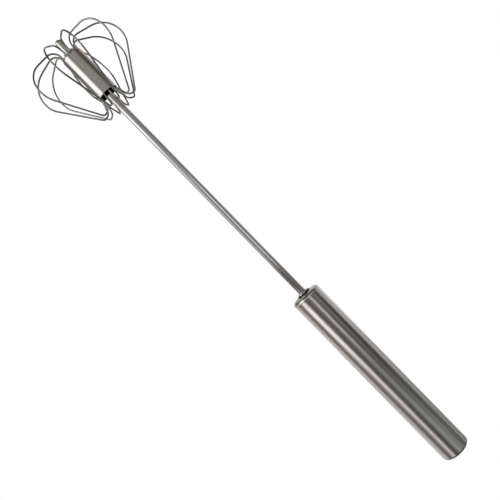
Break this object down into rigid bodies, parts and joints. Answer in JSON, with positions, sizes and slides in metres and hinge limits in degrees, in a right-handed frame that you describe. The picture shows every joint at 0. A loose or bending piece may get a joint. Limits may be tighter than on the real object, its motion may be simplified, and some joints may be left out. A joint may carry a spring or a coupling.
{
  "type": "push-down rotary whisk",
  "caption": "Stainless hand egg beater: pressing the round handle down its slim shaft spins a balloon head of wire loops, and a spring inside lifts the handle again.",
  "frame": {"origin": "on the whisk's axis, half way along the handle, where the hand grips it", "axes": "+Z along the axis from the wire head to the butt of the handle; +X within 3 degrees of the plane of the first wire loop"},
  "size_m": [0.0674, 0.0652, 0.3547],
  "materials": {
    "brushed_handle": "satin, brushed round",
    "satin_steel": "satin",
    "polished_steel": "polished",
    "wire_steel": "bright drawn",
    "spring_steel": "drawn",
    "black_nylon": "moulded",
    "white_nylon": "moulded",
    "black_silicone": "matte"
  },
  "bodies": {
    "handle": {"handle_tube": "brushed_handle", "butt_cap": "brushed_handle", "nose_bush": "black_nylon", "nose_ring": "polished_steel", "buffer_washer": "black_silicone", "anchor_plug": "white_nylon", "anchor_pin": "polished_steel", "drive_strip": "spring_steel", "return_spring": "spring_steel"},
    "slider": {"thrust_washer": "polished_steel"},
    "spinner": {"drive_nut": "white_nylon", "shaft_tube": "polished_steel", "shaft_tip": "polished_steel", "hub_sleeve": "satin_steel", "hub_core": "wire_steel", "whisk_wire_01": "wire_steel", "whisk_wire_02": "wire_steel", "whisk_wire_03": "wire_steel", "whisk_wire_04": "wire_steel", "whisk_wire_05": "wire_steel", "whisk_wire_06": "wire_steel", "whisk_wire_07": "wire_steel", "whisk_wire_08": "wire_steel", "whisk_wire_09": "wire_steel", "whisk_wire_10": "wire_steel"}
  },
  "joints": [
    {"name": "handle_plunge", "type": "slide", "parent": "handle", "child": "slider", "axis": [0, 0, 1], "range_m": [0, 0.08], "stiffness_N_per_m": 115, "springref_m": -0.013, "deforming": ["return_spring"]},
    {"name": "head_spin", "type": "hinge", "parent": "slider", "child": "spinner", "pos_m": [0, 0, -0.05], "axis": [0, 0, 1], "range_deg": [0, 900]}
  ],
  "couplings": [
    {"joint": "head_spin", "follows": "handle_plunge", "rad_per_m": 196.35}
  ]
}
